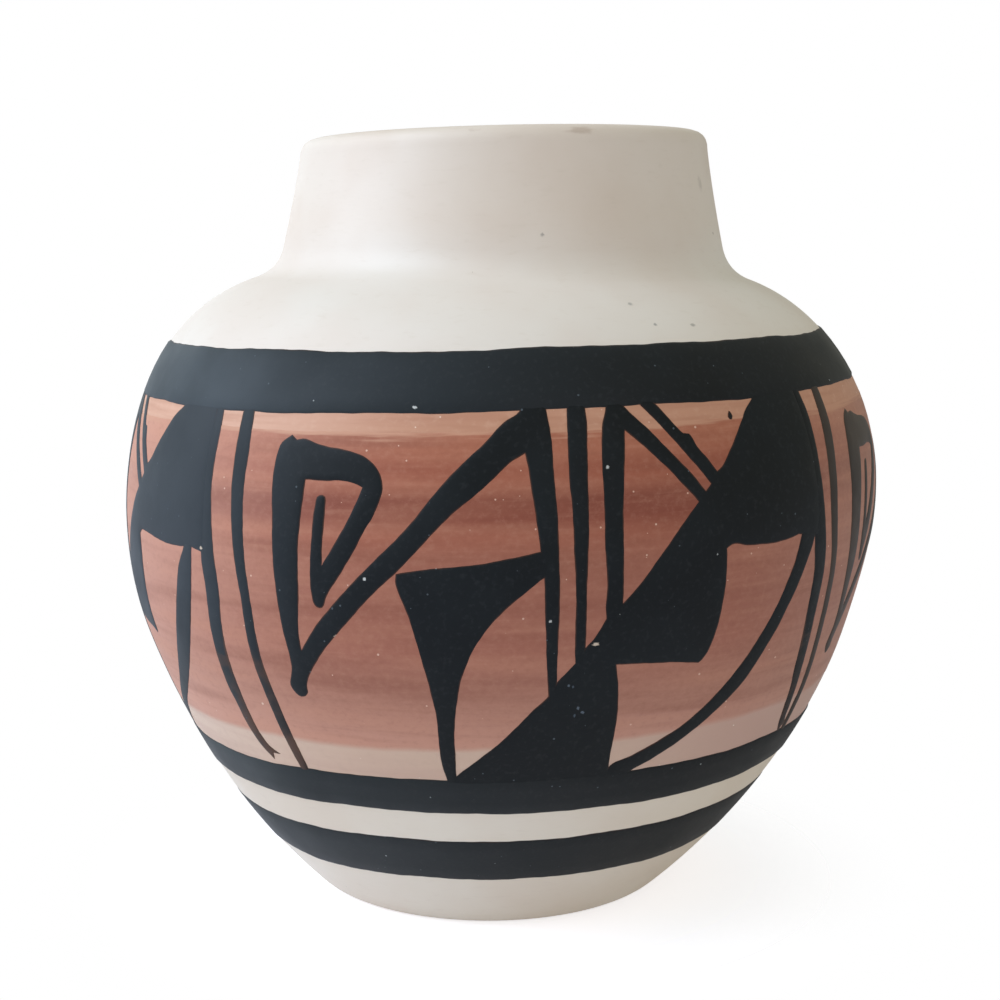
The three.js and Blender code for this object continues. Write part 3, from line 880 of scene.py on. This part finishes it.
# The terracotta's streaks, from the bottom of the frieze to the top
TERRACOTTA_STREAKS = [
    (0.02, (188, 137, 117)),
    (0.15, (168, 116, 96)),
    (0.32, (157, 97, 77)),
    (0.45, (152, 92, 72)),
    (0.58, (157, 96, 75)),
    (0.66, (156, 89, 66)),
    (0.71, (130, 62, 42)),
    (0.76, (127, 60, 40)),
    (0.81, (153, 83, 59)),
    (0.85, (151, 82, 58)),
    (0.9, (165, 98, 72)),
]

# The blacks from the left of the vase to the right, paler on the left as a painted sheen and darker on
# the right as painted shade: of the bands, of the figures, and of the figures worn brown, which are
# also paler at the right edge as a painted sheen
BAND_BLACKS_SHEEN_TO_SHADE = [(0.01, (66, 74, 80)), (0.08, (56, 64, 70)), (0.2, (35, 42, 47)), (0.5, (28, 33, 37)),
               (0.8, (17, 20, 22)), (1, (13, 14, 15))]
FIGURE_BLACKS_SHEEN_TO_SHADE = [(0.01, (56, 63, 69)), (0.08, (40, 47, 53)), (0.2, (12, 19, 24)), (0.5, (6, 13, 17)),
                 (1, (8, 12, 14))]
WORN_BLACKS_AND_SHEEN = [(0, (52, 50, 50)), (0.5, (36, 30, 27)), (0.9, (50, 41, 35)), (1, (66, 55, 47))]

# What the colours are multiplied by: low on the clay, a painted warm light from the floor; on the
# clay's right side, a painted shade; low on the black, to make it warmer there
CLAY_FLOOR_LIGHT_PAINTED = (1, 0.99, 0.92, 1)
CLAY_SHADE_PAINTED_RIGHT = (0.97, 0.94, 0.88, 1)
LOW_BLACK = (1, 0.95, 0.85, 1)

# How far in from a black edge the brown starts, and how far it reaches, in millimetres
BROWN_FROM = 0.04
BROWN_REACH = 0.18


def clay_finish():
    """Burnished clay: soft paler and pinker patches, a fine grain, stains and pits, with a painted warm
    floor light low down and painted shade on the right.
    """
    finish = Finish("burnished_clay", 0.5)
    patches = finish.between(finish.noise(18), 0.3, 0.7)
    grain = finish.noise(1.8, 0.5, detail=4)
    shoulder = finish.mix(patches, colour(222, 214, 205), colour(217, 205, 194))
    neck = finish.mix(patches, colour(219, 207, 195), colour(213, 198, 184))
    on_neck = finish.between(finish.height, 74, 81)
    below_neck = finish.between(finish.height, 76, 60)
    low = finish.between(finish.height, 30, 18)
    right = finish.between(finish.right, 0, 35)
    finish.base = finish.mix(on_neck, shoulder, neck)
    # Painted light and shade: warmer low down as a painted light from the floor, and darker and warmer
    # on the right below the neck as a painted shade
    finish.darken(CLAY_FLOOR_LIGHT_PAINTED, low)
    finish.darken(CLAY_SHADE_PAINTED_RIGHT, finish.sums("MULTIPLY", right, below_neck))
    finish.tint((203, 189, 173), grain, 0.55, 0.8, 0.25)
    finish.speckle((150, 132, 116), spacing=3.4, size=0.15, share=0.12)
    for degrees, height, half_width, half_height, shade in CLAY_STAINS:
        place = thrown(math.radians(degrees), *on_wall(height, 0))
        stain = finish.spot(place, half_width, half_height, softness=0.6)
        finish.lay(shade, finish.sums("MULTIPLY", stain, 0.6))
    finish.relief(grain, 0.012)
    return finish.done(roughness=finish.between(patches, 0, 1, 0.44, 0.56))


def glaze_finish():
    """Clear gloss glaze over the clay, with a few dark pinholes."""
    finish = Finish("clear_glaze", 0.12)
    finish.base = finish.mix(finish.noise(16), colour(232, 226, 212), colour(220, 211, 193))
    finish.speckle((150, 124, 98), spacing=3, size=0.2, share=0.12)
    finish.relief(finish.noise(6), 0.02)
    return finish.done()


def wash_colour(finish):
    """The wash's colour, paler on the left of the vase as a painted light, and pinker and darker on the
    right as a painted shade.
    """
    left, right = finish.between(finish.right, -12, -42), finish.between(finish.right, 6, 30)
    paler = finish.mix(left, colour(*WASH), colour(*LEFT_WASH_PAINTED_LIGHT))
    return finish.mix(right, paler, colour(*RIGHT_WASH_PAINTED_SHADE))


def wash_finish():
    """A pale wash, thin and even, with faint pinker streaks and paler flecks."""
    finish = Finish("pale_wash", 0.62)
    mottle = finish.noise(0.9, 0.7)
    finish.base = wash_colour(finish)
    finish.tint((190, 156, 140), finish.noise(18, 1.3), 0.4, 0.75, 0.5)
    finish.tint((184, 154, 138), mottle, 0.45, 0.75, 0.2)
    finish.speckle((224, 208, 194), spacing=0.9, size=0.12, share=0.12)
    finish.relief(mottle, 0.01)
    return finish.done()


def terracotta_finish():
    """Terracotta slip brushed on level: broad faint streaks, a fine mottle and pale flecks, and thin
    along both edges, where the slips beneath show through."""
    finish = Finish("terracotta_slip", 0.62)
    above = finish.sums("SUBTRACT", finish.height, WASH_TOP)
    level = finish.sums("DIVIDE", above, FRIEZE_TOP - WASH_TOP)
    broad = finish.noise(30, 2.8, detail=2)
    fine = finish.noise(11, 0.6)
    mottle = finish.noise(0.8, 0.6, roughness=0.7)
    finish.base = finish.by_level(level, TERRACOTTA_STREAKS)
    # Paler on the left of the vase as a painted light, and paler towards the right edge
    finish.tint((208, 158, 138), finish.right, -14, -44, 0.6)
    finish.tint((172, 130, 112), finish.right, 22, 42, 0.5)
    finish.tint((192, 134, 106), broad, 0.45, 0.75, 0.25)
    finish.tint((122, 64, 43), broad, 0.5, 0.25, 0.35)
    finish.tint((194, 138, 112), fine, 0.5, 0.8, 0.2)
    finish.tint((124, 68, 48), fine, 0.5, 0.25, 0.15)
    finish.tint((196, 146, 122), mottle, 0.45, 0.75, 0.15)
    finish.tint((112, 58, 40), mottle, 0.5, 0.28, 0.13)
    finish.speckle((206, 168, 148), spacing=0.8, size=0.13, share=0.14)
    finish.speckle((214, 184, 164), spacing=2.3, size=0.15, share=0.16)
    upper = finish.between(level, 0.45, 0.55)
    lower = finish.sums("SUBTRACT", 1, upper)
    ragged = finish.between(finish.noise(9, 0.5), 0.3, 0.7, -0.4, 0.4)
    thin_above = finish.between(finish.sums("ADD", finish.edge, ragged), 0.1, 0.9, 1, 0)
    thin_below = finish.sums("MULTIPLY", lower, finish.between(finish.edge, 0, 0.9, 1, 0))
    finish.lay(LIGHT_TERRACOTTA, finish.sums("MULTIPLY", upper, thin_above))
    finish.base = finish.mix(thin_below, finish.base, wash_colour(finish))
    finish.relief(mottle, 0.012)
    return finish.done()


def light_terracotta_finish():
    """The same slip in one thin coat, with pale flecks where the brush skipped."""
    finish = Finish("light_terracotta_slip", 0.62)
    mottle = finish.noise(0.9, 0.6)
    finish.base = colour(*LIGHT_TERRACOTTA)
    # Paler on the left of the vase as a painted light
    finish.tint((204, 158, 134), finish.right, -4, -30)
    finish.tint((174, 120, 94), finish.noise(14, 0.8, detail=4), 0.35, 0.75, 0.6)
    finish.tint((206, 164, 140), mottle, 0.5, 0.75, 0.3)
    finish.speckle((222, 196, 176), spacing=0.8, size=0.13, share=0.22)
    finish.relief(mottle, 0.01)
    return finish.done()


def black_finish(name, shades, brown, low_reach=BROWN_REACH):
    """Matt black slip with a fine grain and pale specks, and brown along its edges where the brush left
    it thin. Its shades are its colours from the left of the vase to the right, and carry a painted
    sheen where they are paler and painted shade where they are darker. Low down the brown comes in from
    the edges as far as a reach in millimetres."""
    finish = Finish(name, 0.56, specular=0.2)
    across = finish.between(finish.right, -BELLY_RADIUS, BELLY_RADIUS)
    low = finish.between(finish.height, 42, 22)
    cloud = finish.noise(9)
    grain = finish.noise(0.5, detail=2)
    # Painted sheen and shade across the vase, from the paler and darker stops of the shades
    finish.base = finish.by_level(across, shades)
    finish.tint((30, 36, 40), cloud, 0.35, 0.7, 0.3)
    finish.tint((54, 57, 60), grain, 0.5, 0.8, 0.2)
    finish.darken(LOW_BLACK, low)
    reach = finish.between(low, 0, 1, BROWN_REACH, low_reach)
    thin = finish.between(finish.edge, BROWN_FROM, reach, 1, 0)
    patchy = finish.between(finish.noise(4), 0.35, 0.65, 0.1, 0.9)
    finish.lay(brown, finish.sums("MULTIPLY", thin, patchy))
    finish.speckle((72, 80, 86), spacing=0.8, size=0.12, share=0.2)
    finish.speckle((160, 166, 166), spacing=2.4, size=0.13, share=0.14)
    for degrees, percent, half_width, half_height, shade in BLACK_CHIPS:
        height = blend(FRIEZE_BOTTOM, FRIEZE_TOP, percent / 100)
        place = paint_place(math.radians(degrees), height)
        finish.lay(shade, finish.spot(place, half_width, half_height))
    finish.relief(grain, 0.008)
    return finish.done(roughness=finish.between(cloud, 0.2, 0.8, 0.5, 0.62))


def add_bands():
    """The bands of slip round the vase, the later ones over the edges of the earlier ones."""
    black = black_finish("black_band_slip", BAND_BLACKS_SHEEN_TO_SHADE, brown=(58, 44, 38))
    wash, light_terracotta, terracotta = wash_finish(), light_terracotta_finish(), terracotta_finish()

    low = uneven(FRIEZE_BOTTOM - OVERLAP, 2, climb=0.45)
    high = uneven(WASH_TOP + OVERLAP, 1, climb=1.1)
    add_band("lower_wash_strip", wash, WASH_COAT, low, high)

    low, high = uneven(TERRACOTTA_TOP - OVERLAP, 3), uneven(FRIEZE_TOP + OVERLAP, 4)
    add_band("upper_wash_strip", light_terracotta, WASH_COAT, low, high)

    low, high = uneven(WASH_TOP, 1, climb=1.1), uneven(TERRACOTTA_TOP, 5)
    add_band("terracotta_band", terracotta, TERRACOTTA_COAT, low, high)

    low, high = uneven(BARE_FOOT, 1790, climb=0.35), uneven(FOOT_BAND_TOP, 254, climb=0.77)
    add_band("foot_black_band", black, FOOT_BAND_COAT, low, high)

    low, high = uneven(LOWER_BAND_BOTTOM, 2374, climb=0.39), uneven(FRIEZE_BOTTOM, 1141, climb=0.48)
    add_band("lower_black_band", black, BAND_COAT, low, high)

    low, high = uneven(FRIEZE_TOP, 10), uneven(SHOULDER_BAND_TOP, 1469, climb=-0.22)
    add_band("shoulder_black_band", black, BAND_COAT, low, high)


def add_figures():
    """The painted figures of every repeat, each a little thicker than the one it crosses."""
    black = black_finish("black_slip", FIGURE_BLACKS_SHEEN_TO_SHADE, brown=(70, 44, 34))
    thin_black = black_finish("thin_black_slip", FIGURE_BLACKS_SHEEN_TO_SHADE, brown=(84, 60, 48), low_reach=1.6)
    # The worn figures: brown from wear, and paler at the vase's right edge as a painted sheen
    worn_and_sheened_black = black_finish("worn_and_sheened_black_slip", WORN_BLACKS_AND_SHEEN, brown=(84, 62, 50))
    figures = {
        "arc_line": arc_line(),
        "side_line": side_line(),
        "upright_line": upright_line(),
        "feather_blade": feather_blade(),
        "lightning_figure": lightning_figure(),
        "fret_hook": fret_hook(),
        "upright_bar": upright_bar(),
    }
    unusual = {
        ("lightning_figure", 1): [*lightning_figure(), drip()],
        ("lightning_figure", 4): lightning_figure(LEFT_RISER, LEFT_HIGH_STEP),
        ("arc_line", 4): left_arc_line(),
        ("side_line", 4): side_line(lean=-0.8),
    }
    blacks = {"side_line": thin_black, "upright_line": thin_black}
    worn = [("fret_hook", 2), ("upright_line", 2)]
    for order, (name, usual) in enumerate(figures.items()):
        for repeat in range(1, REPEATS + 1):
            outlines = unusual.get((name, repeat), usual)
            material = worn_and_sheened_black if (name, repeat) in worn else blacks.get(name, black)
            add_figure(name, repeat, outlines, BLACK_COAT + order * NEXT_STROKE, material)


def floor_finish():
    """Plain white. Where it is seen it glows a little near the vase, and is clear further out."""
    finish = Finish("studio_floor", 1, specular=0)
    place = finish.add("TexCoord").outputs["Object"]
    away = finish.add("VectorMath", {0: place}, operation="LENGTH").outputs["Value"]
    seen = finish.add("LightPath").outputs["Is Camera Ray"]
    near = finish.between(away, *FLOOR_GLOW_FADE)
    glow = finish.sums("MULTIPLY", finish.between(seen, 0, 1, *FLOOR_GLOW), near)
    clear = finish.sums("MULTIPLY", seen, finish.between(away, *FLOOR_FADE))
    nothing = finish.add("BsdfTransparent").outputs[0]
    faded = finish.add("MixShader", {0: clear, 1: finish.shader.outputs[0], 2: nothing})
    finish.feed(finish.shader.inputs["Emission Color"], (1, 1, 1, 1))
    finish.feed(finish.shader.inputs["Emission Strength"], glow)
    finish.feed(finish.tree.nodes["Material Output"].inputs["Surface"], faded.outputs[0])
    finish.base = FLOOR_COLOUR
    return finish.done()


def add_floor():
    """A plain floor of soft white, which fades into the white background."""
    bpy.ops.mesh.primitive_circle_add(vertices=128, radius=1.5, fill_type="NGON")
    floor = bpy.context.object
    floor.name = "studio_floor"
    floor.data.materials.append(floor_finish())


def add_lamp(name, azimuth, elevation, distance, size, power, tint):
    """A square soft lamp that faces the belly. Azimuth 0 is in front, and grows to the right."""
    data = bpy.data.lights.new(name, "AREA")
    data.shape = "SQUARE"
    data.size = size
    data.energy = power
    data.color = tint
    lamp = bpy.data.objects.new(name, data)
    bpy.context.scene.collection.objects.link(lamp)
    turn, rise = math.radians(azimuth), math.radians(elevation)
    away = Vector((math.sin(turn) * math.cos(rise), -math.cos(turn) * math.cos(rise), math.sin(rise)))
    lamp.location = away * distance + Vector((0, 0, BELLY_HEIGHT * MM))
    lamp.rotation_euler = away.to_track_quat("Z", "Y").to_euler()


def light_world():
    """White where it is seen, and a soft warm grey as a light."""
    world = bpy.data.worlds.new("studio")
    bpy.context.scene.world = world
    world.use_nodes = True
    tree = world.node_tree
    background = tree.nodes["Background"]
    path = tree.nodes.new("ShaderNodeLightPath")
    seen = tree.nodes.new("ShaderNodeMath")
    seen.operation = "MAXIMUM"
    tree.links.new(path.outputs["Is Camera Ray"], seen.inputs[0])
    tree.links.new(path.outputs["Is Transmission Ray"], seen.inputs[1])
    shade = tree.nodes.new("ShaderNodeMix")
    shade.data_type = "RGBA"
    shade.inputs[6].default_value = WORLD_LIGHT
    shade.inputs[7].default_value = WORLD_SEEN
    tree.links.new(seen.outputs[0], shade.inputs["Factor"])
    tree.links.new(shade.outputs[2], background.inputs["Color"])


def add_camera():
    data = bpy.data.cameras.new("camera")
    data.lens = LENS
    data.sensor_width = SENSOR_WIDTH
    camera = bpy.data.objects.new("camera", data)
    bpy.context.scene.collection.objects.link(camera)
    camera.location = CAMERA_PLACE
    camera.rotation_euler = (math.radians(90 - CAMERA_DOWN_DEGREES), 0, 0)
    bpy.context.scene.camera = camera


add_clay_body()
add_glaze_lining()
add_bands()
add_figures()
add_floor()
add_lamp("key", azimuth=-78, elevation=36, distance=0.8, size=0.8, power=7.65, tint=(0.73, 0.83, 1))
add_lamp("edge", azimuth=-150, elevation=14, distance=0.8, size=0.5, power=0.6, tint=(0.8, 0.9, 1))
add_lamp("fill", azimuth=25, elevation=22, distance=0.8, size=0.5, power=0.55, tint=(0.97, 0.9, 1))
light_world()
add_camera()
bpy.context.scene.view_settings.view_transform = "Standard"
